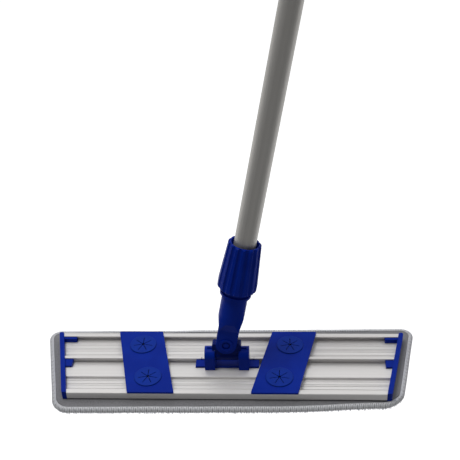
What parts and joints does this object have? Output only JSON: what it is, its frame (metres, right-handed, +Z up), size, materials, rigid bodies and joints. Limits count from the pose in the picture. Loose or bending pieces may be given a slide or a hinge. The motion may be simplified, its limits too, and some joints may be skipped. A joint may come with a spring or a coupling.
{
  "type": "flat mop",
  "caption": "Flat mop: tapered aluminium frame with cloth-grip plates, a two-way swivel, a screw clamp and pole, and a hook-and-loop microfibre pad.",
  "frame": {"origin": "on the floor, on the pad's underside, under the middle of the aluminium frame", "axes": "+Z up, +X along the frame to the right, +Y towards the frame's long edge; the pole leans 6.91 degrees towards +Y and 10.95 degrees towards +X"},
  "size_m": [0.5081, 0.2502, 1.4476],
  "materials": {
    "blue_plastic": "moulded, satin",
    "blue_rubber": "soft moulded",
    "frame_aluminium": "anodised extrusion, drawn along its length",
    "pole_aluminium": "anodised tube, satin",
    "pin_steel": "plain",
    "hook_tape": "hook tape",
    "microfibre": "looped microfibre pile",
    "foam": "open foam",
    "loop_backing": "brushed loop knit",
    "binding_tape": "ribbed edging tape, overlocked"
  },
  "bodies": {
    "pole": {"pole_tube": "pole_aluminium", "pole_plug": "blue_plastic", "hand_grip": "blue_plastic", "grip_end": "blue_plastic"},
    "socket": {"fork_socket": "blue_plastic", "swing_pin": "blue_plastic"},
    "cone": {"clamp_cone": "blue_plastic"},
    "nut": {"clamp_nut": "blue_plastic"},
    "yoke": {"swivel_yoke": "blue_plastic"},
    "head": {"frame_profile": "frame_aluminium", "end_cap_right": "blue_plastic", "end_cap_left": "blue_plastic", "hook_strip_back": "hook_tape", "hook_strip_front": "hook_tape", "joint_base": "blue_plastic", "hinge_pin": "pin_steel", "rail_lock_pin_left": "pin_steel", "rail_lock_pin_right": "pin_steel"},
    "plate_left": {"cloth_grip_plate_left": "blue_plastic", "star_grip_left_front": "blue_rubber", "star_grip_left_back": "blue_rubber"},
    "plate_right": {"cloth_grip_plate_right": "blue_plastic", "star_grip_right_front": "blue_rubber", "star_grip_right_back": "blue_rubber"},
    "pad": {"pad_microfibre_face": "microfibre", "pad_foam_core": "foam", "pad_loop_backing": "loop_backing", "pad_binding": "binding_tape"}
  },
  "joints": [
    {"name": "socket_pull", "type": "slide", "parent": "pole", "child": "socket", "axis": [-0.19, -0.1181, -0.9747], "range_m": [0, 0.1]},
    {"name": "clamp_travel", "type": "slide", "parent": "socket", "child": "cone", "axis": [0.19, 0.1181, 0.9747], "range_m": [0, 0.002]},
    {"name": "clamp_turn", "type": "hinge", "parent": "cone", "child": "nut", "pos_m": [0.019, 0.0141, 0.14783], "axis": [0.19, 0.1181, 0.9747], "range_deg": [0, 180]},
    {"name": "pole_swing", "type": "hinge", "parent": "socket", "child": "yoke", "pos_m": [0, 0.00229, 0.05036], "axis": [0, 0.9927, -0.1203], "range_deg": [-49.05, 70.95]},
    {"name": "head_tilt", "type": "hinge", "parent": "yoke", "child": "head", "pos_m": [0, 0, 0.0315], "axis": [1, 0, 0], "range_deg": [-81.91, 68.09]},
    {"name": "plate_left_slide", "type": "slide", "parent": "head", "child": "plate_left", "axis": [1, 0, 0], "range_m": [-0.058, 0.036]},
    {"name": "plate_right_slide", "type": "slide", "parent": "head", "child": "plate_right", "axis": [1, 0, 0], "range_m": [-0.01, 0.085]},
    {"name": "pad_peel", "type": "slide", "parent": "head", "child": "pad", "axis": [0, 0, -1], "range_m": [0, 0.04]}
  ],
  "couplings": [
    {"joint": "clamp_turn", "follows": "clamp_travel", "rad_per_m": 1570.8}
  ]
}
